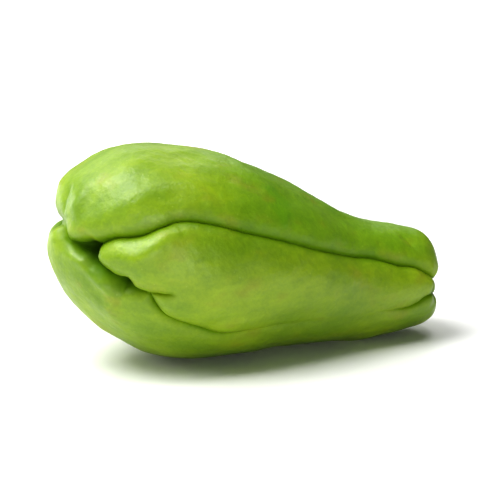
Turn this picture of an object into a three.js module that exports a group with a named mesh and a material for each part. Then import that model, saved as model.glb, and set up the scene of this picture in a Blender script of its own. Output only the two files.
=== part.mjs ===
// A chayote squash lying on its side: the blossom end with its puckered mouth at -X, the narrower
// stem end at +X, +Z up, and the origin on the ground under the middle of the fruit. Millimetres.
//
// The fruit is one closed skin. A ball of evenly spread directions is stretched to a smooth pear
// form, and that form is pressed in along furrows, which leaves the lobes standing between them.
// A place on the skin is given by two angles. The polar angle runs along the fruit from the
// blossom pole (0 degrees) to the stem pole (180 degrees). The turn runs round it: 0 is the near
// side (-Y), 90 the top, 180 the far side (+Y) and -90 the underside.
import * as THREE from 'three';
import { mergeVertices } from 'three/addons/utils/BufferGeometryUtils.js';

// ---- The pear form ----------------------------------------------------------------------------
const HALF_LENGTH = 71.2;
const WIDTH_TO_HEIGHT = 1.06;      // the fruit is a little wider than it is high
// Place along the fruit from -1 to 1, the half height of the section that the ball is stretched
// to there, and the height of that section's centre.
const STATIONS = [
  [-1.0, 43.0, 43.2],
  [-0.7, 43.2, 40.2],
  [-0.4, 39.2, 35.9],
  [-0.1, 33.5, 33.0],
  [0.2, 28.9, 28.1],
  [0.5, 25.9, 21.9],
  [0.8, 31.6, 19.5],
  [1.0, 46.0, 18.6],
];
const LIFT = 0.1;                  // leaves the underside half a millimetre in the ground, which
                                   // presses it flat there, so that the fruit has a spot to rest on

// ---- The furrows ------------------------------------------------------------------------------
// A furrow follows a curve through its points. Each point has its polar angle and turn, its depth,
// the share of the depth that is a sharp line rather than a soft roll, and the half width of the
// opening at its bottom. The rolls are how far the skin bulges over on the left and on the right
// of the furrow, going along it.
const FURROWS = [
  {
    name: 'mouth',                 // the puckered slit over the blossom end, from the far side
    line: 1.5,
    rolls: [4.0, 2.5],
    points: [
      [38, 170, 3.6, 0.5, 0.2],
      [30, 166, 6.0, 0.6, 0.6],
      [22, 163, 6.4, 0.4, 1.0],
      [16, 156, 6.2, 0.2, 1.4],
      [11.5, 140, 5.8, 0.1, 1.6],
      [9.3, 100, 4.6, 0.1, 1.4],
      [9.8, 66, 3.6, 0.1, 1.2],
      [9.0, 48, 3.6, 0.1, 1.0],
      [8.8, 30, 4.0, 0.15, 0.8],
      [10.2, 9, 5.0, 0.4, 0.4],
      [14.5, 1.5, 7.5, 0.6, 0.6],
      [18.5, -1, 9.5, 0.7, 1.1],
      [22.6, 0.5, 10.5, 0.75, 1.6],
    ],
  },
  {
    name: 'under the top lobe',    // the long furrow between the top lobe and the tongue
    line: 1.4,
    rolls: [5.5, 5.4],
    points: [
      [22.6, 0.5, 9.0, 0.7, 1.2],
      [25, 5, 7.5, 0.65, 0.7],
      [28.3, 9.5, 6.5, 0.65, 0.4],
      [31.5, 12.5, 5.6, 0.6, 0.3],
      [35, 14.5, 5.2, 0.5, 0.25],
      [40, 15.2, 5.0, 0.5, 0.25],
      [45.5, 17.5, 4.8, 0.5, 0.25],
      [52.5, 23, 4.4, 0.5, 0.25],
      [57.5, 26.5, 3.8, 0.5, 0.25],
      [66, 27, 3.3, 0.5, 0.25],
      [82, 22.5, 3.0, 0.5, 0.3],
      [100, 21.5, 2.9, 0.5, 0.4],
      [107, 23.5, 2.9, 0.5, 0.4],
      [113.5, 26.5, 3.0, 0.5, 0.4],
      [118, 29.3, 3.0, 0.5, 0.4],
      [122.5, 30.6, 3.1, 0.5, 0.4],
      [127.5, 28.7, 3.2, 0.5, 0.4],
      [133.5, 25.8, 3.4, 0.5, 0.4],
      [139, 24.5, 3.4, 0.5, 0.25],
      [144, 21, 3.5, 0.5, 0.25],
      [150, 14.5, 3.6, 0.5, 0.25],
      [158, 9, 3.4, 0.5, 0.25],
      [177, 0, 2.8, 0.4, 0.2],
    ],
  },
  {
    name: 'over the lip',          // the near corner of the mouth and the furrow below the tongue
    line: 1.5,
    rolls: [2.2, 4.6],
    points: [
      [22.6, 0.5, 10.5, 0.75, 1.6],
      [23.5, -5, 10.5, 0.7, 1.3],
      [25, -11, 9.5, 0.55, 0.7],
      [28, -15.5, 8.0, 0.45, 0.3],
      [31.5, -18, 7.0, 0.4, 0.2],
      [35, -20.6, 7.5, 0.5, 0.3],
      [37.8, -22.2, 9.5, 0.75, 1.4],
      [40.8, -23.2, 6.0, 0.6, 0.4],
      [43.4, -23.2, 4.6, 0.55, 0.3],
      [46.5, -22, 3.9, 0.5, 0.2],
      [49, -27, 3.6, 0.5, 0.2],
      [52, -32, 3.4, 0.5, 0.2],
      [56, -34.5, 3.2, 0.5, 0.2],
      [64, -36.5, 2.9, 0.45, 0.2],
      [72, -38.5, 2.3, 0.45, 0.1],
      [80, -37, 1.2, 0.3, 0],
      [90, -34.5, 0, 0.2, 0],
    ],
  },
  {
    name: 'tuck in the tongue',
    line: 0.9,
    rolls: [2.2, 2.2],
    points: [
      [46.5, -21, 2.4, 0.6, 0.1],
      [49.5, -18.5, 2.0, 0.6, 0.1],
      [52.5, -17, 1.5, 0.6, 0],
      [56, -14.5, 0, 0.5, 0],
    ],
  },
  {
    name: 'dent across the lip',
    line: 1.2,
    rolls: [4, 4],
    points: [
      [38, -23, 4.0, 0.3, 0.3],
      [38, -29, 2.2, 0.2, 0],
      [38, -36, 1.2, 0.1, 0],
      [39, -45, 0, 0.1, 0],
    ],
  },
  {
    name: 'end of the tongue',     // it stops a little short of the lobes beside it
    line: 1.5,
    rolls: [4, 4],
    points: [
      [155, 12, 0.6, 0, 1.0],
      [157, 6, 4.6, 0, 1.0],
      [159, -1, 6.2, 0, 1.0],
      [161.5, -9, 6.2, 0, 1.0],
      [163.5, -18, 3.4, 0, 1.0],
      [164.5, -28, 2.0, 0, 1.0],
      [165.5, -40, 0.4, 0, 1.0],
    ],
  },
  {
    name: 'groove over the mouth',
    line: 1.5,
    rolls: [3.5, 3.5],
    points: [
      [13, 72, 1.0, 0, 0],
      [16, 71.5, 2.0, 0, 0],
      [20.5, 80, 1.8, 0, 0],
      [24, 82, 1.2, 0, 0],
      [27.5, 79.5, 0, 0, 0],
    ],
  },
  {
    name: 'dent in the end of the top lobe',
    line: 1.5,
    rolls: [3, 3],
    points: [
      [135, 62, 0, 0, 0],
      [139, 52.5, 0.9, 0, 0],
      [142.5, 39, 0.9, 0, 0],
      [143.5, 28, 0, 0, 0],
    ],
  },
  {
    name: 'low on the near side',
    line: 1.1,
    rolls: [4, 4],
    points: [
      [121, -22, 0, 0.3, 0],
      [129, -23.5, 1.5, 0.3, 0],
      [136, -23, 2.4, 0.4, 0.1],
      [141, -19, 2.8, 0.45, 0.1],
      [147, -12.5, 2.9, 0.45, 0.2],
      [156, -14, 2.6, 0.5, 0.2],
      [166, -27, 2.6, 0.5, 0.2],
      [176, -50, 2.4, 0.5, 0.2],
    ],
  },
  {
    name: 'far side, upper',
    line: 1.4,
    rolls: [5.5, 5.5],
    points: [
      [13, 147, 5.6, 0.4, 0.6],
      [19, 141, 5.4, 0.5, 0.4],
      [29, 129, 4.0, 0.5, 0.2],
      [45, 119, 3.4, 0.5, 0.2],
      [75, 110, 2.9, 0.5, 0.2],
      [105, 109, 2.6, 0.5, 0.2],
      [135, 118, 3.0, 0.5, 0.2],
      [155, 131, 3.4, 0.5, 0.2],
      [177, 140, 3.4, 0.5, 0.2],
    ],
  },
  {
    name: 'far side, middle',
    line: 1.4,
    rolls: [5.5, 5.5],
    points: [
      [34, 163, 4.5, 0.5, 0.3],
      [45, 174, 3.9, 0.5, 0.2],
      [64, 178, 3.4, 0.5, 0.2],
      [92, 172, 2.9, 0.5, 0.2],
      [115, 174, 2.8, 0.5, 0.2],
      [135, 182, 3.0, 0.5, 0.2],
      [155, 187, 3.3, 0.5, 0.2],
      [177, 190, 3.4, 0.5, 0.2],
    ],
  },
  {
    name: 'under the far side',
    line: 1.2,
    rolls: [5, 5],
    points: [
      [30, 215, 0, 0.4, 0],
      [40, 232, 2.2, 0.45, 0.1],
      [60, 242, 2.6, 0.5, 0.1],
      [85, 246, 2.4, 0.5, 0.1],
      [110, 246, 2.2, 0.5, 0.1],
      [140, 240, 2.6, 0.5, 0.1],
      [160, 236, 3.0, 0.5, 0.2],
      [176, 230, 3.2, 0.5, 0.2],
    ],
  },
];

// ---- The ridges -------------------------------------------------------------------------------
// A soft ridge of skin that stands up along a curve. Each point has its polar angle and turn and
// the ridge's height there, and the reach says how far to the sides it runs out.
const RIDGES = [
  {
    name: 'crest of the lip',
    reach: 3.4,
    points: [
      [9, 20, 0],
      [9.5, 7, 0.4],
      [14.5, -4, 0.9],
      [18.5, -11, 1.7],
      [22.5, -17, 2.4],
      [28, -25, 2.9],
      [32.5, -30, 2.8],
      [36, -33.5, 1.7],
      [40, -38, 0.3],
      [43, -41, 0],
    ],
  },
  {
    name: 'end of the top lobe',
    reach: 4.5,
    points: [
      [17, 99, 0],
      [21.5, 106, 0.8],
      [26, 110, 1.7],
      [31, 113, 1.8],
      [37, 113, 0.9],
      [45, 112, 0],
    ],
  },
  {
    name: 'beside the groove over the mouth',
    reach: 3.0,
    points: [
      [18, 44, 0],
      [22, 53, 0.9],
      [25.5, 58, 1.0],
      [29, 62, 0.6],
      [34, 64, 0],
    ],
  },
  {
    name: 'shoulder of the tongue',
    reach: 4.2,
    points: [
      [31, 0, 0],
      [37, 0.5, 1.0],
      [42.5, 1.5, 1.6],
      [46, 5, 1.9],
      [49.5, 11, 1.7],
      [53, 17.5, 0.9],
      [57, 22, 0],
    ],
  },
];

// ---- The stem scar ----------------------------------------------------------------------------
const STEM_HOLLOW_DEPTH = 4.0;     // the dimple that the stem grew out of
const STEM_HOLLOW_RADIUS = 8.0;
const SCAR_RADIUS = 3.2;           // the corky stub left in it, standing up a little
const SCAR_HEIGHT = 1.6;
const SCAR_STEEPNESS = 1.5;        // of the stub's edge

// ---- The mesh ---------------------------------------------------------------------------------
const ALONG = 39;                  // squares along the ball's box, and round it
const ROUND = 28;
const CLOSER_ALONG = 0.10;         // how much the squares crowd towards the blossom end, and
const CLOSER_ROUND = 0.15;         // towards the near side, where the mouth needs small ones
const PULL_REACH = 2.8;            // skin this close to a furrow is drawn to its line
const PULL = 0.8;                  // and by this share of the way, so that no two points meet
const LINE_WIDENING = 1.4;         // the squares are wider than a furrow's sharp line
const DEEPEST = 8.0;               // and can't follow a pit that is deeper than this
const CURVE_STEPS = 8;             // steps between two points of a furrow
const BLEND_POWER = 3;             // crossing furrows join into one, not one twice as deep
const SIDE_CHANGE = 1.5;           // how soon a furrow's left roll gives way to its right one
const MERGE_TOLERANCE = 1e-4;

const radians = THREE.MathUtils.degToRad;
const clamp = THREE.MathUtils.clamp;

/** The direction from the middle of the ball for a polar angle and a turn in degrees. */
function direction(polar, turn) {
  const p = radians(polar);
  const t = radians(turn);
  return new THREE.Vector3(-Math.cos(p), -Math.sin(p) * Math.cos(t), Math.sin(p) * Math.sin(t));
}

/** A station's value at x: a smooth curve through the column of STATIONS that is asked for. */
function along(x, column) {
  const last = STATIONS.length - 1;
  let i = 0;
  while (i < last - 1 && x > STATIONS[i + 1][0]) i += 1;
  const slope = (k) => {
    const a = STATIONS[Math.max(k - 1, 0)];
    const b = STATIONS[Math.min(k + 1, last)];
    return (b[column] - a[column]) / (b[0] - a[0]);
  };
  const start = STATIONS[i];
  const end = STATIONS[i + 1];
  const step = end[0] - start[0];
  const t = (x - start[0]) / step;
  return (2 * t ** 3 - 3 * t ** 2 + 1) * start[column]
    + (t ** 3 - 2 * t ** 2 + t) * step * slope(i)
    + (3 * t ** 2 - 2 * t ** 3) * end[column]
    + (t ** 3 - t ** 2) * step * slope(i + 1);
}

/** Where the smooth pear form has its skin in a direction. */
function pear(d) {
  const half = along(d.x, 1);
  return new THREE.Vector3(
    HALF_LENGTH * d.x,
    half * WIDTH_TO_HEIGHT * d.y,
    along(d.x, 2) + half * d.z + LIFT,
  );
}

/** The outward normal of the pear form in a direction, from two points close beside it. */
function pearNormal(d) {
  const NEAR = 0.001;
  const helper = Math.abs(d.z) < 0.9 ? new THREE.Vector3(0, 0, 1) : new THREE.Vector3(0, 1, 0);
  const east = new THREE.Vector3().crossVectors(helper, d).normalize();
  const north = new THREE.Vector3().crossVectors(d, east);
  const middle = pear(d);
  const a = pear(d.clone().addScaledVector(east, NEAR).normalize()).sub(middle);
  const b = pear(d.clone().addScaledVector(north, NEAR).normalize()).sub(middle);
  return a.cross(b).normalize();
}

/** A curve on the pear form through places given by their angles, with up to three more values. */
function curveThrough(points) {
  const smooth = new THREE.CatmullRomCurve3(
    points.map(([polar, turn]) => direction(polar, turn)), false, 'catmullrom', 0.5);
  const values = new THREE.CatmullRomCurve3(
    points.map(([, , first, second = 0, third = 0]) => new THREE.Vector3(first, second, third)),
    false, 'catmullrom', 0.5);
  const steps = (points.length - 1) * CURVE_STEPS;
  const none = new THREE.Vector3();
  const curve = [];
  for (let i = 0; i <= steps; i += 1) {
    curve.push({
      at: pear(smooth.getPoint(i / steps).normalize()),
      values: values.getPoint(i / steps).max(none),
    });
  }
  return curve;
}

/** The nearest place on a curve, the way that the curve goes there, and its values. */
function nearestOn(curve, point) {
  const segment = new THREE.Line3();
  const found = new THREE.Vector3();
  let best = { distance: Infinity };
  for (let i = 0; i + 1 < curve.length; i += 1) {
    segment.set(curve[i].at, curve[i + 1].at);
    const t = segment.closestPointToPointParameter(point, true);
    segment.at(t, found);
    const distance = found.distanceTo(point);
    if (distance < best.distance) {
      best = {
        distance,
        at: found.clone(),
        ahead: segment.delta(new THREE.Vector3()).normalize(),
        values: curve[i].values.clone().lerp(curve[i + 1].values, t).toArray(),
      };
    }
  }
  return best;
}

/** How far the skin is pressed in by a furrow, and the step that draws it towards its line. */
function pressedBy(furrow, curve, start, normal) {
  const near = nearestOn(curve, start);
  const [depth, sharp, opening] = near.values;
  const across = new THREE.Vector3().subVectors(start, near.at).normalize();
  const leftness = normal.clone().cross(near.ahead).dot(across);
  const side = 0.5 + 0.5 * clamp(SIDE_CHANGE * leftness, -1, 1);
  const roll = THREE.MathUtils.lerp(furrow.rolls[1], furrow.rolls[0], side);
  const share = Math.exp(-((near.distance / PULL_REACH) ** 2)) * clamp(depth * sharp, 0, 1);
  const away = Math.max(near.distance * (1 - PULL * share) - opening, 0);
  const line = sharp * Math.exp(-away / (furrow.line * LINE_WIDENING));
  const bulge = (1 - sharp) * Math.exp(-away / roll);
  return {
    depth: Math.min(depth, DEEPEST) * (line + bulge),
    step: near.at.clone().sub(start).multiplyScalar(share),
    share,
  };
}

/** The skin in a direction, with its furrows, its ridges, its stem hollow and its scar. */
function skin(d, furrows, ridges) {
  const start = pear(d);
  const normal = pearNormal(d);
  const pull = new THREE.Vector3();
  let weight = 1;
  let pressed = 0;
  FURROWS.forEach((furrow, i) => {
    const press = pressedBy(furrow, furrows[i], start, normal);
    pressed += press.depth ** BLEND_POWER;
    pull.add(press.step);
    weight = Math.max(weight, press.share);
  });
  let risen = 0;
  RIDGES.forEach((ridge, i) => {
    const near = nearestOn(ridges[i], start);
    const [height] = near.values;
    risen += height * Math.exp(-((near.distance / ridge.reach) ** 2));
  });
  const point = start.clone().addScaledVector(pull, PULL / weight);
  point.addScaledVector(normal, risen - pressed ** (1 / BLEND_POWER));
  const fromStem = Math.hypot(start.y, start.z - pear(direction(180, 0)).z);
  if (d.x > 0) {
    point.x -= STEM_HOLLOW_DEPTH * Math.exp(-((fromStem / STEM_HOLLOW_RADIUS) ** 2));
    point.x += SCAR_HEIGHT * clamp(SCAR_STEEPNESS * (1 - fromStem / SCAR_RADIUS), 0, 1);
  }
  point.z = Math.max(point.z, 0);
  return point;
}

/** A box whose points are spread over the ball, as directions, closer together by the mouth. */
function ballOfDirections() {
  const geometry = new THREE.BoxGeometry(2, 2, 2, ALONG, ROUND, ROUND);
  geometry.deleteAttribute('normal');
  geometry.deleteAttribute('uv');
  const merged = mergeVertices(geometry, MERGE_TOLERANCE);
  const position = merged.getAttribute('position');
  const even = (v) => Math.tan(v * Math.PI / 4);
  const crowded = (v, share) => v - share * (1 - v ** 2);
  for (let i = 0; i < position.count; i += 1) {
    const d = new THREE.Vector3().fromBufferAttribute(position, i);
    d.x = even(crowded(d.x, CLOSER_ALONG));
    d.y = even(crowded(d.y, CLOSER_ROUND));
    d.z = even(d.z);
    d.normalize();
    position.setXYZ(i, d.x, d.y, d.z);
  }
  return merged;
}

/** The fruit's mesh, moved so that the origin is on the ground under the middle of its box. */
function chayote() {
  const furrows = FURROWS.map((furrow) => curveThrough(furrow.points));
  const ridges = RIDGES.map((ridge) => curveThrough(ridge.points));
  const geometry = ballOfDirections();
  const position = geometry.getAttribute('position');
  for (let i = 0; i < position.count; i += 1) {
    const point = skin(new THREE.Vector3().fromBufferAttribute(position, i), furrows, ridges);
    position.setXYZ(i, point.x, point.y, point.z);
  }
  geometry.computeBoundingBox();
  const middle = geometry.boundingBox.getCenter(new THREE.Vector3());
  geometry.translate(-middle.x, -middle.y, 0);
  geometry.computeVertexNormals();
  const material = new THREE.MeshStandardMaterial({
    color: '#8fb83a',
    roughness: 0.42,
    metalness: 0,
  });
  const mesh = new THREE.Mesh(geometry, material);
  mesh.name = 'chayote';
  return mesh;
}

const part = new THREE.Group();
part.add(chayote());

export default part;
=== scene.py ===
import math

import bmesh
import bpy
import numpy as np
from mathutils import Euler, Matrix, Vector, noise


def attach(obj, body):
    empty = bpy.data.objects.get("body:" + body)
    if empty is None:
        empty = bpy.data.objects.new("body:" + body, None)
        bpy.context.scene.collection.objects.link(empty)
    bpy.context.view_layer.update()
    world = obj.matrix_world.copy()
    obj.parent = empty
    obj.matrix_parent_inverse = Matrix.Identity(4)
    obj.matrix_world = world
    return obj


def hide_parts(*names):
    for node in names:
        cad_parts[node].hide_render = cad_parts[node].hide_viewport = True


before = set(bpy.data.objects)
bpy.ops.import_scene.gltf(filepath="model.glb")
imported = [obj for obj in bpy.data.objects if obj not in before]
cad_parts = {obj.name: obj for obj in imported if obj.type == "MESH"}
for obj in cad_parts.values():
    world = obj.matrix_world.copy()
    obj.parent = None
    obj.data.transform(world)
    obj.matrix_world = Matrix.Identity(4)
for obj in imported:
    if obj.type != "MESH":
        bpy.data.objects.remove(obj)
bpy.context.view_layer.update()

MM = 0.001

# A chayote squash on its side: blossom end with its puckered mouth at -X, stem end at +X, near
# side -Y. The skin is a ball of directions stretched to a pear form and pressed in along furrows,
# from the same named values as the solid that it replaces, on a much finer mesh. A place on it is
# a polar angle from the blossom pole (0) to the stem pole (180) and a turn round the fruit: 0 is
# the near side, 90 the top, 180 the far side and -90 the underside. Shapes are worked out in
# millimetres and become metres in the mesh.

# ---- The pear form ----------------------------------------------------------------------------
HALF_LENGTH = 71.2
WIDTH_TO_HEIGHT = 1.06
# place along the fruit from -1 to 1, half height there, height of the centre there
STATIONS = np.array([
    [-1.0, 43.0, 43.2],
    [-0.7, 43.2, 40.2],
    [-0.4, 39.2, 35.9],
    [-0.1, 33.5, 33.0],
    [0.2, 28.9, 28.1],
    [0.5, 25.9, 21.9],
    [0.8, 31.6, 19.5],
    [1.0, 46.0, 18.6],
])
LIFT = 0.1

# ---- The furrows ------------------------------------------------------------------------------
# width of the sharp line, rolls of skin on its left and right, and the points that it follows:
# polar angle, turn, depth, share of the depth that is the sharp line, half width of the opening
FURROWS = {
    "mouth": (1.5, (4.0, 2.5), [
        [38, 170, 3.6, 0.5, 0.2],
        [30, 166, 6.0, 0.6, 0.6],
        [22, 163, 6.4, 0.4, 1.0],
        [16, 156, 6.2, 0.2, 1.4],
        [11.5, 140, 5.8, 0.1, 1.6],
        [9.3, 100, 4.6, 0.1, 1.4],
        [9.8, 66, 3.6, 0.1, 1.2],
        [9.0, 48, 3.6, 0.1, 1.0],
        [8.8, 30, 4.0, 0.15, 0.8],
        [10.2, 9, 5.0, 0.4, 0.4],
        [14.5, 1.5, 7.5, 0.6, 0.6],
        [18.5, -1, 9.5, 0.7, 1.1],
        [22.6, 0.5, 10.5, 0.75, 1.6],
    ]),
    "under the top lobe": (1.4, (5.5, 5.4), [
        [22.6, 0.5, 9.0, 0.7, 1.2],
        [25, 5, 7.5, 0.65, 0.7],
        [28.3, 9.5, 6.5, 0.65, 0.4],
        [31.5, 12.5, 5.6, 0.6, 0.3],
        [35, 14.5, 5.2, 0.5, 0.25],
        [40, 15.2, 5.0, 0.5, 0.25],
        [45.5, 17.5, 4.8, 0.5, 0.25],
        [52.5, 23, 4.4, 0.5, 0.25],
        [57.5, 26.5, 3.8, 0.5, 0.25],
        [66, 27, 3.3, 0.5, 0.25],
        [82, 22.5, 3.0, 0.5, 0.3],
        [100, 21.5, 2.9, 0.5, 0.4],
        [107, 23.5, 2.9, 0.5, 0.4],
        [113.5, 26.5, 3.0, 0.5, 0.4],
        [118, 29.3, 3.0, 0.5, 0.4],
        [122.5, 30.6, 3.1, 0.5, 0.4],
        [127.5, 28.7, 3.2, 0.5, 0.4],
        [133.5, 25.8, 3.4, 0.5, 0.4],
        [139, 24.5, 3.4, 0.5, 0.25],
        [144, 21, 3.5, 0.5, 0.25],
        [150, 14.5, 3.6, 0.5, 0.25],
        [158, 9, 3.4, 0.5, 0.25],
        [177, 0, 2.8, 0.4, 0.2],
    ]),
    "over the lip": (1.5, (2.2, 4.6), [
        [22.6, 0.5, 10.5, 0.75, 1.6],
        [23.5, -5, 10.5, 0.7, 1.3],
        [25, -11, 9.5, 0.55, 0.7],
        [28, -15.5, 8.0, 0.45, 0.3],
        [31.5, -18, 7.0, 0.4, 0.2],
        [35, -20.6, 7.5, 0.5, 0.3],
        [37.8, -22.2, 9.5, 0.75, 1.4],
        [40.8, -23.2, 6.0, 0.6, 0.4],
        [43.4, -23.2, 4.6, 0.55, 0.3],
        [46.5, -22, 3.9, 0.5, 0.2],
        [49, -27, 3.6, 0.5, 0.2],
        [52, -32, 3.4, 0.5, 0.2],
        [56, -34.5, 3.2, 0.5, 0.2],
        [64, -36.5, 2.9, 0.45, 0.2],
        [72, -38.5, 2.3, 0.45, 0.1],
        [80, -37, 1.4, 0.3, 0],
        [90, -34.5, 0.9, 0.2, 0],
        [100, -32.5, 0.6, 0.1, 0],
        [110, -31, 0, 0, 0],
    ]),
    "tuck in the tongue": (0.9, (2.2, 2.2), [
        [46.5, -21, 2.4, 0.6, 0.1],
        [49.5, -18.5, 2.0, 0.6, 0.1],
        [52.5, -17, 1.5, 0.6, 0],
        [56, -14.5, 0, 0.5, 0],
    ]),
    "dent across the lip": (1.2, (4, 4), [
        [38, -23, 4.0, 0.3, 0.3],
        [38, -29, 2.2, 0.2, 0],
        [38, -36, 1.2, 0.1, 0],
        [39, -45, 0, 0.1, 0],
    ]),
    "end of the tongue": (1.5, (4, 4), [
        [155, 12, 0.6, 0, 1.0],
        [157, 6, 4.6, 0, 1.0],
        [159, -1, 6.2, 0, 1.0],
        [161.5, -9, 6.2, 0, 1.0],
        [163.5, -18, 3.4, 0, 1.0],
        [164.5, -28, 2.0, 0, 1.0],
        [165.5, -40, 0.4, 0, 1.0],
    ]),
    "groove over the mouth": (1.5, (3.5, 3.5), [
        [13, 72, 1.0, 0, 0],
        [16, 71.5, 2.0, 0, 0],
        [20.5, 80, 1.8, 0, 0],
        [24, 82, 1.2, 0, 0],
        [27.5, 79.5, 0, 0, 0],
    ]),
    "dent in the end of the top lobe": (1.5, (3, 3), [
        [135, 62, 0, 0, 0],
        [139, 52.5, 0.9, 0, 0],
        [142.5, 39, 0.9, 0, 0],
        [143.5, 28, 0, 0, 0],
    ]),
    "low on the near side": (1.1, (4, 4), [
        [121, -22, 0, 0.3, 0],
        [129, -23.5, 1.5, 0.3, 0],
        [136, -23, 2.4, 0.4, 0.1],
        [141, -19, 2.8, 0.45, 0.1],
        [147, -12.5, 2.9, 0.45, 0.2],
        [156, -14, 2.6, 0.5, 0.2],
        [166, -27, 2.6, 0.5, 0.2],
        [176, -50, 2.4, 0.5, 0.2],
    ]),
    "far side, upper": (1.4, (5.5, 5.5), [
        [13, 147, 5.6, 0.4, 0.6],
        [19, 141, 5.4, 0.5, 0.4],
        [29, 129, 4.0, 0.5, 0.2],
        [45, 119, 3.4, 0.5, 0.2],
        [75, 110, 2.9, 0.5, 0.2],
        [105, 109, 2.6, 0.5, 0.2],
        [135, 118, 3.0, 0.5, 0.2],
        [155, 131, 3.4, 0.5, 0.2],
        [177, 140, 3.4, 0.5, 0.2],
    ]),
    "far side, middle": (1.4, (5.5, 5.5), [
        [34, 163, 4.5, 0.5, 0.3],
        [45, 174, 3.9, 0.5, 0.2],
        [64, 178, 3.4, 0.5, 0.2],
        [92, 172, 2.9, 0.5, 0.2],
        [115, 174, 2.8, 0.5, 0.2],
        [135, 182, 3.0, 0.5, 0.2],
        [155, 187, 3.3, 0.5, 0.2],
        [177, 190, 3.4, 0.5, 0.2],
    ]),
    "under the far side": (1.2, (5, 5), [
        [30, 215, 0, 0.4, 0],
        [40, 232, 2.2, 0.45, 0.1],
        [60, 242, 2.6, 0.5, 0.1],
        [85, 246, 2.4, 0.5, 0.1],
        [110, 246, 2.2, 0.5, 0.1],
        [140, 240, 2.6, 0.5, 0.1],
        [160, 236, 3.0, 0.5, 0.2],
        [176, 230, 3.2, 0.5, 0.2],
    ]),
}

# ---- The ridges -------------------------------------------------------------------------------
# how far each reaches, and the points that it follows: polar angle, turn, height
RIDGES = {
    "crest of the lip": (3.0, [
        [9, 20, 0],
        [9.5, 7, 0.4],
        [14.5, -4, 0.9],
        [18.5, -10, 1.7],
        [22.5, -15, 2.4],
        [28, -22.5, 2.8],
        [32.5, -27, 2.7],
        [36, -30.5, 1.5],
        [40, -34.5, 0],
    ]),
    "end of the top lobe": (4.5, [
        [17, 99, 0],
        [21.5, 106, 0.8],
        [26, 110, 1.7],
        [31, 113, 1.8],
        [37, 113, 0.9],
        [45, 112, 0],
    ]),
    "beside the groove over the mouth": (3.0, [
        [18, 44, 0],
        [22, 53, 0.9],
        [25.5, 58, 1.0],
        [29, 62, 0.6],
        [34, 64, 0],
    ]),
    "shoulder of the tongue": (4.2, [
        [31, 0, 0],
        [37, 0.5, 1.0],
        [42.5, 1.5, 1.6],
        [46, 5, 1.9],
        [49.5, 11, 1.7],
        [53, 17.5, 0.9],
        [57, 22, 0],
    ]),
}

# ---- The stem scar ----------------------------------------------------------------------------
STEM_HOLLOW_DEPTH = 4.0
STEM_HOLLOW_RADIUS = 8.0
SCAR_RADIUS = 3.2
SCAR_HEIGHT = 1.6
SCAR_SLOPE = 1.5                     # over 1 gives it a flat top
CORK_REACH = 1.4                     # the cork's colour goes this many radii out

# ---- The deeper green: painted shade, and a darker patch --------------------------------------
# painted shade on the upper side from the middle to the stem end, as shares of the ball's radius
PAINTED_SHADE_FROM_TO = (-0.5, 0.0)
PAINTED_SHADE_UP_FROM_TO = (0.15, 0.6)
PAINTED_SHADE_SHARE = 0.65
# and a patch on the near shoulder of the top lobe
PATCH_CENTRE = (0.8, -23.4, 54.2)
PATCH_HALF_WIDTH = 4.5
PATCH_HALF_LENGTH = 9.0
PATCH_RAGGED = 0.5
PATCH_RAGGED_SIZE = 4.0
PATCH_FADE = (1.3, 0.7)              # from nothing to full, as shares of its half sizes

# ---- The mesh ---------------------------------------------------------------------------------
ALONG = 168
ROUND = 104
PULL_REACH = 1.2
PULL = 0.9
CURVE_STEPS = 8
BLEND_POWER = 3
FURROW_REACH = 26                    # past this a furrow changes nothing
SIDE_CHANGE = 1.5                    # how fast one side's roll gives way to the other's at an end
GAPING_LOOSENS = 0.8                 # at most this share of the pull is lost where it is open

# the skin isn't quite even: height, size and draw-out of its lumps, and puckers that run up to
# the furrows
LUMPS = ((0.9, 14, 0.6), (0.34, 7, 0.7), (0.10, 2.8, 1))
NOISE_TURN = (0.5, 0.7, 0.3)         # so that no pattern lines up with the fruit
LUMP_TURN = np.array(Euler(NOISE_TURN).to_matrix())
PUCKER = 0.3
PUCKER_FULL_DEPTH = 4                # beside a shallower furrow they are lower
PUCKER_WIDTH = 3.6
PUCKER_REACH = 2.6
PUCKER_LENGTH = 6
CREASE_REACH = 1.2                   # how far the painted shade and duller skin beside a line reach


def direction(polar, turn):
    p, t = np.radians(polar), np.radians(turn)
    return np.stack([-np.cos(p), -np.sin(p) * np.cos(t), np.sin(p) * np.sin(t)], axis=-1)


def unit(v):
    return v / np.linalg.norm(v, axis=-1, keepdims=True)


def along(x, column):
    """The stations' values at x, on a smooth curve through one of their columns."""
    at, value = STATIONS[:, 0], STATIONS[:, column]
    slope = np.empty_like(value)
    slope[1:-1] = (value[2:] - value[:-2]) / (at[2:] - at[:-2])
    slope[0] = (value[1] - value[0]) / (at[1] - at[0])
    slope[-1] = (value[-1] - value[-2]) / (at[-1] - at[-2])
    i = np.clip(np.searchsorted(at, x) - 1, 0, len(at) - 2)
    step = at[i + 1] - at[i]
    t = (x - at[i]) / step
    return (
        (2 * t**3 - 3 * t**2 + 1) * value[i]
        + (t**3 - 2 * t**2 + t) * step * slope[i]
        + (3 * t**2 - 2 * t**3) * value[i + 1]
        + (t**3 - t**2) * step * slope[i + 1]
    )


def pear(d):
    """Where the smooth pear form has its skin, for directions from the middle of the ball."""
    half = along(d[:, 0], 1)
    return np.stack([
        HALF_LENGTH * d[:, 0],
        half * WIDTH_TO_HEIGHT * d[:, 1],
        along(d[:, 0], 2) + half * d[:, 2] + LIFT,
    ], axis=1)


def pear_normal(d):
    """Outward normals of the pear form, from two places close beside each."""
    near = 0.001
    helper = np.where(np.abs(d[:, 2:]) < 0.9, [[0.0, 0.0, 1.0]], [[0.0, 1.0, 0.0]])
    east = unit(np.cross(helper, d))
    north = np.cross(d, east)
    middle = pear(d)
    a = pear(unit(d + near * east)) - middle
    b = pear(unit(d + near * north)) - middle
    return unit(np.cross(a, b))


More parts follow.
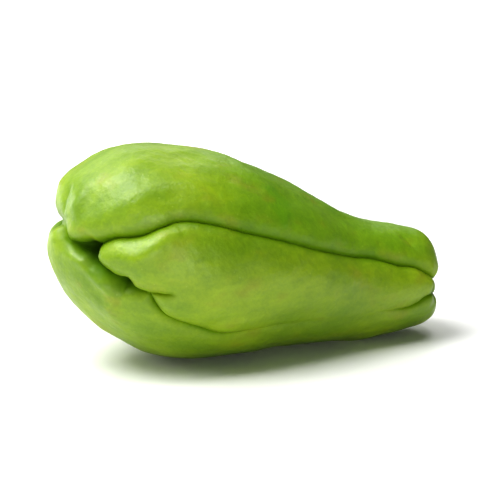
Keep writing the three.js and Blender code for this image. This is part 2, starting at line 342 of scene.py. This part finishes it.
def smooth_points(points):
    """A Catmull-Rom curve through rows of numbers."""
    p = np.vstack([2 * points[0] - points[1], points, 2 * points[-1] - points[-2]])
    t = np.arange(CURVE_STEPS)[:, None] / CURVE_STEPS
    pieces = []
    for a, b, c, d in zip(p, p[1:], p[2:], p[3:]):
        pieces.append(0.5 * (
            2 * b + (c - a) * t
            + (2 * a - 5 * b + 4 * c - d) * t**2
            + (3 * b - a - 3 * c + d) * t**3
        ))
    return np.vstack([*pieces, points[-1:]])


def smooth_noise(places):
    """Smooth uneven numbers about 0, in lumps about 1 across."""
    return np.array([noise.noise(Vector(p)) for p in places])


def uneven(places, size):
    """Smooth uneven numbers about 0 over places, in lumps of about the size that is given."""
    return smooth_noise(places @ LUMP_TURN / size)


def nearest(curve, points):
    """For each point: how far the curve is, where along it, and the nearest place on it."""
    best = np.full(len(points), np.inf)
    position = np.zeros(len(points))
    place = np.zeros_like(points)
    for i, (a, b) in enumerate(zip(curve, curve[1:])):
        ab = b - a
        t = np.clip((points - a) @ ab / (ab @ ab), 0, 1)
        q = a + t[:, None] * ab
        d = ((points - q) ** 2).sum(axis=1)
        closer = d < best
        best[closer] = d[closer]
        position[closer] = i + t[closer]
        place[closer] = q[closer]
    return np.sqrt(best), position, place


def line_on_pear(rows):
    """A smooth line on the pear form through rows that start with a polar angle and a turn: its
    points, and what the rows hold after that at each of them."""
    rows = np.array(rows, float)
    smooth = smooth_points(np.hstack([direction(rows[:, 0], rows[:, 1]), rows[:, 2:]]))
    return pear(unit(smooth[:, :3])), smooth[:, 3:]


def furrowed(start, normal):
    """What the furrows do to the skin: how deep they press it in, how far they draw it to their
    lines, how it puckers beside them, and how near it is to a line."""
    count = len(start)
    pressed = np.zeros(count)
    pull = np.zeros((count, 3))
    weight = np.zeros(count)
    puckered = np.zeros(count)
    crease = np.zeros(count)
    for number, (line, (left, right), rows) in enumerate(FURROWS.values()):
        curve, values = line_on_pear(rows)
        low, high = curve.min(axis=0) - FURROW_REACH, curve.max(axis=0) + FURROW_REACH
        near = np.where(((start > low) & (start < high)).all(axis=1))[0]
        distance, position, place = nearest(curve, start[near])
        steps = np.arange(len(curve))
        depth = np.interp(position, steps, np.maximum(values[:, 0], 0))
        sharp = np.interp(position, steps, np.clip(values[:, 1], 0, 1))
        opening = np.interp(position, steps, np.maximum(values[:, 2], 0))

        # pressed in, as a sharp line and a roll of skin on each side
        ahead = unit(np.gradient(curve, axis=0))
        ahead = np.stack([np.interp(position, steps, ahead[:, k]) for k in range(3)], axis=1)
        across = (start[near] - place) / np.maximum(distance, 1e-6)[:, None]
        leftness = (np.cross(normal[near], ahead) * across).sum(axis=1)
        side = 0.5 + 0.5 * np.clip(SIDE_CHANGE * leftness, -1, 1)
        roll = right + (left - right) * side
        away = np.maximum(distance - opening, 0)
        pressed[near] += (depth * (
            sharp * np.exp(-away / line) + (1 - sharp) * np.exp(-away / roll)
        )) ** BLEND_POWER

        # drawn to the line, except where the furrow gapes
        share = np.exp(-((distance / PULL_REACH) ** 2)) * np.clip(depth * sharp, 0, 1)
        share *= 1 - np.clip(opening, 0, GAPING_LOOSENS)
        pull[near] += share[:, None] * (place - start[near])
        weight[near] += share
        close = np.clip(depth * sharp, 0, 1) * np.exp(-away / CREASE_REACH)
        crease[near] = np.maximum(crease[near], close)

        # puckered across the furrow
        length = np.interp(position, steps, np.concatenate([
            [0], np.cumsum(np.linalg.norm(np.diff(curve, axis=0), axis=1))]))
        wave = smooth_noise(np.stack([
            length / PUCKER_WIDTH, distance / PUCKER_LENGTH, np.full(len(near), number)], axis=1))
        out = distance / PUCKER_REACH
        puckered[near] += wave * np.clip(depth / PUCKER_FULL_DEPTH, 0, 1) * out * np.exp(1 - out)
    pressed = pressed ** (1 / BLEND_POWER)
    return pressed, PULL * pull / np.maximum(1, weight)[:, None], puckered, crease


def ridged(start):
    """How high the ridges raise the skin."""
    risen = np.zeros(len(start))
    for reach, rows in RIDGES.values():
        curve, values = line_on_pear(rows)
        distance, position, _ = nearest(curve, start)
        height = np.interp(position, np.arange(len(curve)), np.maximum(values[:, 0], 0))
        risen += height * np.exp(-((distance / reach) ** 2))
    return risen


def skin(d):
    """The fruit's skin in directions d, how deep in a furrow it is, how near a furrow's line, and
    how near the scar."""
    start = pear(d)
    normal = pear_normal(d)
    pressed, pull, puckered, crease = furrowed(start, normal)
    swell = ridged(start) + PUCKER * puckered
    for height, size, draw in LUMPS:
        swell += height * uneven(start * (draw, 1, 1), size)
    point = start + pull
    point -= normal * (pressed - swell)[:, None]

    stem_height = pear(np.array([[1.0, 0.0, 0.0]]))[0, 2]
    from_stem = np.hypot(start[:, 1], start[:, 2] - stem_height)
    from_stem[d[:, 0] < 0] = np.inf
    point[:, 0] -= STEM_HOLLOW_DEPTH * np.exp(-((from_stem / STEM_HOLLOW_RADIUS) ** 2))
    point[:, 0] += SCAR_HEIGHT * np.clip(SCAR_SLOPE * (1 - from_stem / SCAR_RADIUS), 0, 1)
    point[:, 2] = np.maximum(point[:, 2], 0)
    scar = np.clip(CORK_REACH * SCAR_RADIUS - from_stem, 0, 1)
    return point, pressed, crease, scar


def ball():
    """A box of even squares, to be spread over a ball as directions."""
    bm = bmesh.new()
    bmesh.ops.create_cube(bm, size=2)

    def runs_along(edge):
        return abs(edge.verts[0].co.x - edge.verts[1].co.x) > 1e-6

    lengthways = [e for e in bm.edges if runs_along(e)]
    bmesh.ops.subdivide_edges(bm, edges=lengthways, cuts=ALONG - 1)
    crossways = [e for e in bm.edges if not runs_along(e)]
    bmesh.ops.subdivide_edges(bm, edges=crossways, cuts=ROUND - 1, use_grid_fill=True)
    return bm


def eased(value, low, high):
    """From 0 at low to 1 at high, eased at both ends."""
    t = np.clip((value - low) / (high - low), 0, 1)
    return t * t * (3 - 2 * t)


def patch_and_painted_shade(d, point):
    """How much deeper the green is: painted shade on top towards the stem, and one darker patch
    of the skin there.
    """
    shaded = eased(d[:, 0], *PAINTED_SHADE_FROM_TO) * eased(d[:, 2], *PAINTED_SHADE_UP_FROM_TO)
    out = point - PATCH_CENTRE
    far = np.hypot(out[:, 0] / PATCH_HALF_WIDTH,
                   np.hypot(out[:, 1], out[:, 2]) / PATCH_HALF_LENGTH)
    patch = eased(far + PATCH_RAGGED * uneven(point, PATCH_RAGGED_SIZE), *PATCH_FADE)
    return np.maximum(PAINTED_SHADE_SHARE * shaded, patch)


def make_fruit():
    bm = ball()
    mesh = bpy.data.meshes.new("chayote_skin")
    bm.to_mesh(mesh)
    bm.free()
    count = len(mesh.vertices)
    box = np.empty(count * 3)
    mesh.vertices.foreach_get("co", box)
    d = unit(np.tan(box.reshape(-1, 3) * np.pi / 4))
    point, pressed, crease, scar = skin(d)
    point[:, :2] -= (point[:, :2].min(axis=0) + point[:, :2].max(axis=0)) / 2
    mesh.vertices.foreach_set("co", (point * MM).ravel())
    deeper = patch_and_painted_shade(d, point)
    values_by_name = {"furrow": pressed, "crease": crease, "scar": scar, "deeper": deeper}
    for name, values in values_by_name.items():
        mesh.attributes.new(name, "FLOAT", "POINT").data.foreach_set("value", values)
    mesh.shade_smooth()
    mesh.update()
    fruit = bpy.data.objects.new("chayote_skin", mesh)
    bpy.context.collection.objects.link(fruit)
    return fruit


# ---- Finishes ---------------------------------------------------------------------------------
def linear(hex_colour):
    """An sRGB hex colour as the linear values that shaders take."""
    values = [int(hex_colour[i:i + 2], 16) / 255 for i in (1, 3, 5)]
    return [v / 12.92 if v <= 0.04045 else ((v + 0.055) / 1.055) ** 2.4 for v in values] + [1]


def add_node(tree, kind, settings=(), inputs=(), links=()):
    """One node: its settings, the values on its sockets, and links from other nodes' outputs."""
    node = tree.nodes.new(kind)
    for name, value in dict(settings).items():
        setattr(node, name, value)
    for name, value in dict(inputs).items():
        node.inputs[name].default_value = value
    for name, source in dict(links).items():
        tree.links.new(source, node.inputs[name])
    return node


def waxy_chayote_skin():
    """Living skin under natural wax: clouded yellow-greens, pale pores, a soft broken shine."""
    material = bpy.data.materials.new("waxy_chayote_skin")
    material.use_nodes = True
    tree = material.node_tree
    shader = tree.nodes["Principled BSDF"]
    straight = add_node(tree, "ShaderNodeTexCoord").outputs["Object"]
    place = add_node(tree, "ShaderNodeMapping", inputs={"Rotation": NOISE_TURN},
                     links={"Vector": straight}).outputs["Vector"]

    # clouds of deeper and yellower green, about 16 mm across and drawn out along the fruit
    drawn_out = add_node(tree, "ShaderNodeMapping",
                         inputs={"Scale": (0.55, 1, 1), "Rotation": NOISE_TURN},
                         links={"Vector": straight})
    clouds = add_node(tree, "ShaderNodeTexNoise",
                      inputs={"Scale": 1 / (16 * MM), "Detail": 4, "Roughness": 0.6},
                      links={"Vector": drawn_out.outputs["Vector"]})
    cloud_ramp = add_node(tree, "ShaderNodeValToRGB", links={"Fac": clouds.outputs["Fac"]})
    ramp = cloud_ramp.color_ramp
    ramp.elements[0].position, ramp.elements[0].color = 0.36, linear("#769603")
    ramp.elements[1].position, ramp.elements[1].color = 0.64, linear("#94ae12")
    ramp.elements.new(0.5).color = linear("#86a20c")

    # the deeper green: painted shade on top towards the stem, and the darker patch of the skin
    deeper = add_node(tree, "ShaderNodeAttribute", settings={"attribute_name": "deeper"})
    shaded = add_node(tree, "ShaderNodeMix", settings={"data_type": "RGBA"},
                      inputs={7: linear("#6c9b04")},
                      links={0: deeper.outputs["Fac"], 6: cloud_ramp.outputs["Color"]})

    # faint olive-brown blotches of about 8 mm, as on fruit that was handled
    blotches = add_node(tree, "ShaderNodeTexNoise",
                        inputs={"Scale": 1 / (8 * MM), "Detail": 2, "Roughness": 0.5},
                        links={"Vector": drawn_out.outputs["Vector"]})
    blotch = add_node(tree, "ShaderNodeMapRange", settings={"clamp": True},
                      inputs={"From Min": 0.58, "From Max": 0.72, "To Min": 0, "To Max": 0.5},
                      links={"Value": blotches.outputs["Fac"]})
    blotched = add_node(tree, "ShaderNodeMix", settings={"data_type": "RGBA"},
                        inputs={7: linear("#8a8f12")},
                        links={0: blotch.outputs["Result"], 6: shaded.outputs[2]})

    # streaks along the fruit, about 4.5 mm wide
    stretched = add_node(tree, "ShaderNodeMapping",
                         inputs={"Scale": (0.22, 1, 1), "Rotation": NOISE_TURN},
                         links={"Vector": straight})
    streaks = add_node(tree, "ShaderNodeTexNoise",
                       inputs={"Scale": 1 / (4.5 * MM), "Detail": 2, "Roughness": 0.5},
                       links={"Vector": stretched.outputs["Vector"]})
    streak_ramp = add_node(tree, "ShaderNodeValToRGB", links={"Fac": streaks.outputs["Fac"]})
    ramp = streak_ramp.color_ramp
    ramp.elements[0].position, ramp.elements[0].color = 0.35, linear("#e9f0dc")
    ramp.elements[1].position, ramp.elements[1].color = 0.65, linear("#ffffff")
    streaked = add_node(tree, "ShaderNodeMix",
                        settings={"data_type": "RGBA", "blend_type": "MULTIPLY"},
                        inputs={0: 0.8},
                        links={6: blotched.outputs[2], 7: streak_ramp.outputs["Color"]})

    # fine grain of the skin's cells, about 1 mm
    grain = add_node(tree, "ShaderNodeTexNoise",
                     inputs={"Scale": 1 / (1.1 * MM), "Detail": 2, "Roughness": 0.6},
                     links={"Vector": place})
    grain_ramp = add_node(tree, "ShaderNodeValToRGB", links={"Fac": grain.outputs["Fac"]})
    ramp = grain_ramp.color_ramp
    ramp.elements[0].position, ramp.elements[0].color = 0.3, linear("#dfe8d0")
    ramp.elements[1].position, ramp.elements[1].color = 0.7, linear("#ffffff")
    grained = add_node(tree, "ShaderNodeMix",
                       settings={"data_type": "RGBA", "blend_type": "MULTIPLY"},
                       inputs={0: 0.6},
                       links={6: streaked.outputs[2], 7: grain_ramp.outputs["Color"]})

    # pale pores, a faint one in each cell of a 3.6 mm pattern
    pores = add_node(tree, "ShaderNodeTexVoronoi", settings={"feature": "F1"},
                     inputs={"Scale": 1 / (3.6 * MM), "Randomness": 1.0},
                     links={"Vector": place})
    pore_dot = add_node(tree, "ShaderNodeMapRange", settings={"clamp": True},
                        inputs={"From Min": 0.03, "From Max": 0.11, "To Min": 0.22, "To Max": 0},
                        links={"Value": pores.outputs["Distance"]})
    with_pores = add_node(tree, "ShaderNodeMix", settings={"data_type": "RGBA"},
                          inputs={7: linear("#b4cc5a")},
                          links={0: pore_dot.outputs["Result"], 6: grained.outputs[2]})

    # painted shade in the furrows, darker the deeper they press in, partly a deeper green of the
    # skin there
    furrow = add_node(tree, "ShaderNodeAttribute", settings={"attribute_name": "furrow"})
    furrow_painted_shade = add_node(tree, "ShaderNodeMapRange", settings={"clamp": True},
                         inputs={"From Min": 1.4, "From Max": 6.5, "To Min": 0, "To Max": 0.75},
                         links={"Value": furrow.outputs["Fac"]})
    furrowed = add_node(tree, "ShaderNodeMix", settings={"data_type": "RGBA"},
                        inputs={7: linear("#4f7a12")},
                        links={0: furrow_painted_shade.outputs["Result"], 6: with_pores.outputs[2]})

    # and inside the mouth a blackish painted shade, where the furrows press in deepest
    mouth_painted_shade = add_node(tree, "ShaderNodeMapRange", settings={"clamp": True},
                        inputs={"From Min": 5.8, "From Max": 8.8, "To Min": 0, "To Max": 0.92},
                        links={"Value": furrow.outputs["Fac"]})
    with_mouth_painted_shade = add_node(tree, "ShaderNodeMix", settings={"data_type": "RGBA"},
                       inputs={7: linear("#1c2c06")},
                       links={0: mouth_painted_shade.outputs["Result"], 6: furrowed.outputs[2]})

    # right beside the lines it is darker: painted shade
    crease = add_node(tree, "ShaderNodeAttribute", settings={"attribute_name": "crease"})
    crease_painted_shade = add_node(tree, "ShaderNodeMapRange", settings={"clamp": True},
                         inputs={"From Min": 0.15, "From Max": 0.8, "To Min": 0, "To Max": 0.55},
                         links={"Value": crease.outputs["Fac"]})
    with_crease_painted_shade = add_node(tree, "ShaderNodeMix", settings={"data_type": "RGBA"},
                       inputs={7: linear("#426c08")},
                       links={0: crease_painted_shade.outputs["Result"], 6: with_mouth_painted_shade.outputs[2]})

    # the dry corky scar that the stem leaves
    scar = add_node(tree, "ShaderNodeAttribute", settings={"attribute_name": "scar"})
    cork = add_node(tree, "ShaderNodeTexNoise",
                    inputs={"Scale": 1 / (0.8 * MM), "Detail": 4},
                    links={"Vector": place})
    cork_ramp = add_node(tree, "ShaderNodeValToRGB", links={"Fac": cork.outputs["Fac"]})
    ramp = cork_ramp.color_ramp
    ramp.elements[0].position, ramp.elements[0].color = 0.35, linear("#5c4a2b")
    ramp.elements[1].position, ramp.elements[1].color = 0.68, linear("#a8946a")
    scarred = add_node(tree, "ShaderNodeMix", settings={"data_type": "RGBA"},
                       links={0: scar.outputs["Fac"], 6: with_crease_painted_shade.outputs[2],
                              7: cork_ramp.outputs["Color"]})
    tree.links.new(scarred.outputs[2], shader.inputs["Base Color"])

    # the wax is thinner in places, so the shine breaks up
    wax = add_node(tree, "ShaderNodeTexNoise",
                   inputs={"Scale": 1 / (7 * MM), "Detail": 3, "Roughness": 0.6},
                   links={"Vector": place})
    dullness = add_node(tree, "ShaderNodeMapRange", settings={"clamp": True},
                        inputs={"From Min": 0.3, "From Max": 0.7, "To Min": 0.36, "To Max": 0.50},
                        links={"Value": wax.outputs["Fac"]})
    tree.links.new(dullness.outputs["Result"], shader.inputs["Roughness"])

    # and there is none down in the creases
    shine = add_node(tree, "ShaderNodeMapRange", settings={"clamp": True},
                     inputs={"From Min": 0.1, "From Max": 0.6, "To Min": 0.5, "To Max": 0.03},
                     links={"Value": crease.outputs["Fac"]})
    tree.links.new(shine.outputs["Result"], shader.inputs["Specular IOR Level"])

    # bumps: dimples of 2.4 mm and the fine grain; what is larger is in the mesh
    dimples = add_node(tree, "ShaderNodeTexNoise",
                       inputs={"Scale": 1 / (2.4 * MM), "Detail": 2, "Roughness": 0.5},
                       links={"Vector": place})
    dimpled = add_node(tree, "ShaderNodeBump",
                       inputs={"Strength": 1, "Distance": 0.18 * MM},
                       links={"Height": dimples.outputs["Fac"]})
    pored = add_node(tree, "ShaderNodeBump",
                     inputs={"Strength": 1, "Distance": 0.09 * MM},
                     links={"Height": grain.outputs["Fac"], "Normal": dimpled.outputs["Normal"]})
    tree.links.new(pored.outputs["Normal"], shader.inputs["Normal"])

    shader.inputs["IOR"].default_value = 1.5
    shader.inputs["Subsurface Weight"].default_value = 0.08
    shader.inputs["Subsurface Radius"].default_value = (0.6, 1.0, 0.25)
    shader.inputs["Subsurface Scale"].default_value = 2 * MM
    return material


def matt_white_board():
    """White laminate board, matt, which keeps only a soft shadow; lit from below far out."""
    material = bpy.data.materials.new("matt_white_board")
    material.use_nodes = True
    tree = material.node_tree
    shader = tree.nodes["Principled BSDF"]
    shader.inputs["Base Color"].default_value = linear("#f4f4f2")
    shader.inputs["Roughness"].default_value = 0.5
    shader.inputs["Emission Color"].default_value = (1, 1, 1, 1)
    place = add_node(tree, "ShaderNodeTexCoord").outputs["Object"]
    far = add_node(tree, "ShaderNodeVectorMath", settings={"operation": "LENGTH"},
                   links={0: place})
    glow = add_node(tree, "ShaderNodeMapRange", settings={"interpolation_type": "SMOOTHSTEP"},
                    inputs={"From Min": 0.24, "From Max": 0.75, "To Min": 0, "To Max": 1.0},
                    links={"Value": far.outputs["Value"]})
    tree.links.new(glow.outputs["Result"], shader.inputs["Emission Strength"])
    return material


# ---- The studio -------------------------------------------------------------------------------
def make_floor():
    bm = bmesh.new()
    bmesh.ops.create_grid(bm, x_segments=1, y_segments=1, size=3)
    mesh = bpy.data.meshes.new("floor")
    bm.to_mesh(mesh)
    bm.free()
    floor = bpy.data.objects.new("floor", mesh)
    bpy.context.collection.objects.link(floor)
    mesh.materials.append(matt_white_board())


def soft_light(name, place, target, width, height, watts):
    lamp = bpy.data.lights.new(name, "AREA")
    lamp.shape = "RECTANGLE"
    lamp.size, lamp.size_y, lamp.energy = width, height, watts
    holder = bpy.data.objects.new(name, lamp)
    holder.location = place
    holder.rotation_euler = (Vector(target) - Vector(place)).to_track_quat("-Z", "Y").to_euler()
    bpy.context.collection.objects.link(holder)


CONTRAST_GAMMA = 0.85                # under 1 deepens the darker tones a little


def make_studio():
    world = bpy.data.worlds.new("studio")
    world.use_nodes = True
    sky = world.node_tree.nodes["Background"]
    sky.inputs["Color"].default_value = (1, 1, 1, 1)
    seen = add_node(world.node_tree, "ShaderNodeLightPath").outputs["Is Camera Ray"]
    glow = add_node(world.node_tree, "ShaderNodeMapRange",
                    inputs={"To Min": 0.10, "To Max": 1.0}, links={"Value": seen})
    world.node_tree.links.new(glow.outputs["Result"], sky.inputs["Strength"])
    bpy.context.scene.world = world
    soft_light("key", (-0.54, 0.09, 1.02), (-0.02, 0, 0.03), 0.8, 0.72, 19)
    soft_light("left", (-0.80, 0.16, 0.44), (-0.02, 0, 0.03), 0.25, 0.25, 1.1)
    soft_light("behind left", (-0.45, 0.85, 0.16), (-0.05, 0, 0.04), 0.25, 0.2, 1.3)
    soft_light("low left", (-0.74, 0.64, 0.10), (-0.06, 0, 0.05), 0.3, 0.16, 0.6)
    soft_light("low front", (-0.25, -0.80, 0.13), (-0.02, 0, 0.02), 0.6, 0.2, 2.1)
    soft_light("over the front", (0.09, -0.15, 0.85), (-0.02, 0, 0.03), 0.25, 0.25, 1.8)
    soft_light("backdrop", (0.3, 2.1, 1.5), (0.3, 1.6, 0), 3.0, 1.4, 34)
    view = bpy.context.scene.view_settings
    view.view_transform = "Standard"
    view.gamma = CONTRAST_GAMMA


CAMERA_DISTANCE = 0.667              # metres from the fruit, which sets the perspective
CAMERA_AZIMUTH = -24.0
CAMERA_ELEVATION = 11.85
CAMERA_TARGET = (0.001, 0.0, 0.034)
CAMERA_LENS = 142


def make_camera():
    data = bpy.data.cameras.new("camera")
    data.lens = CAMERA_LENS
    camera = bpy.data.objects.new("camera", data)
    a, e = math.radians(CAMERA_AZIMUTH), math.radians(CAMERA_ELEVATION)
    back = Vector((math.sin(a) * math.cos(e), -math.cos(a) * math.cos(e), math.sin(e)))
    camera.location = Vector(CAMERA_TARGET) + back * CAMERA_DISTANCE
    camera.rotation_euler = (-back).to_track_quat("-Z", "Y").to_euler()
    bpy.context.collection.objects.link(camera)
    bpy.context.scene.camera = camera


make_camera()
make_floor()
make_studio()
fruit = make_fruit()
fruit.data.materials.append(waxy_chayote_skin())
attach(fruit, "root")
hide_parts("chayote")
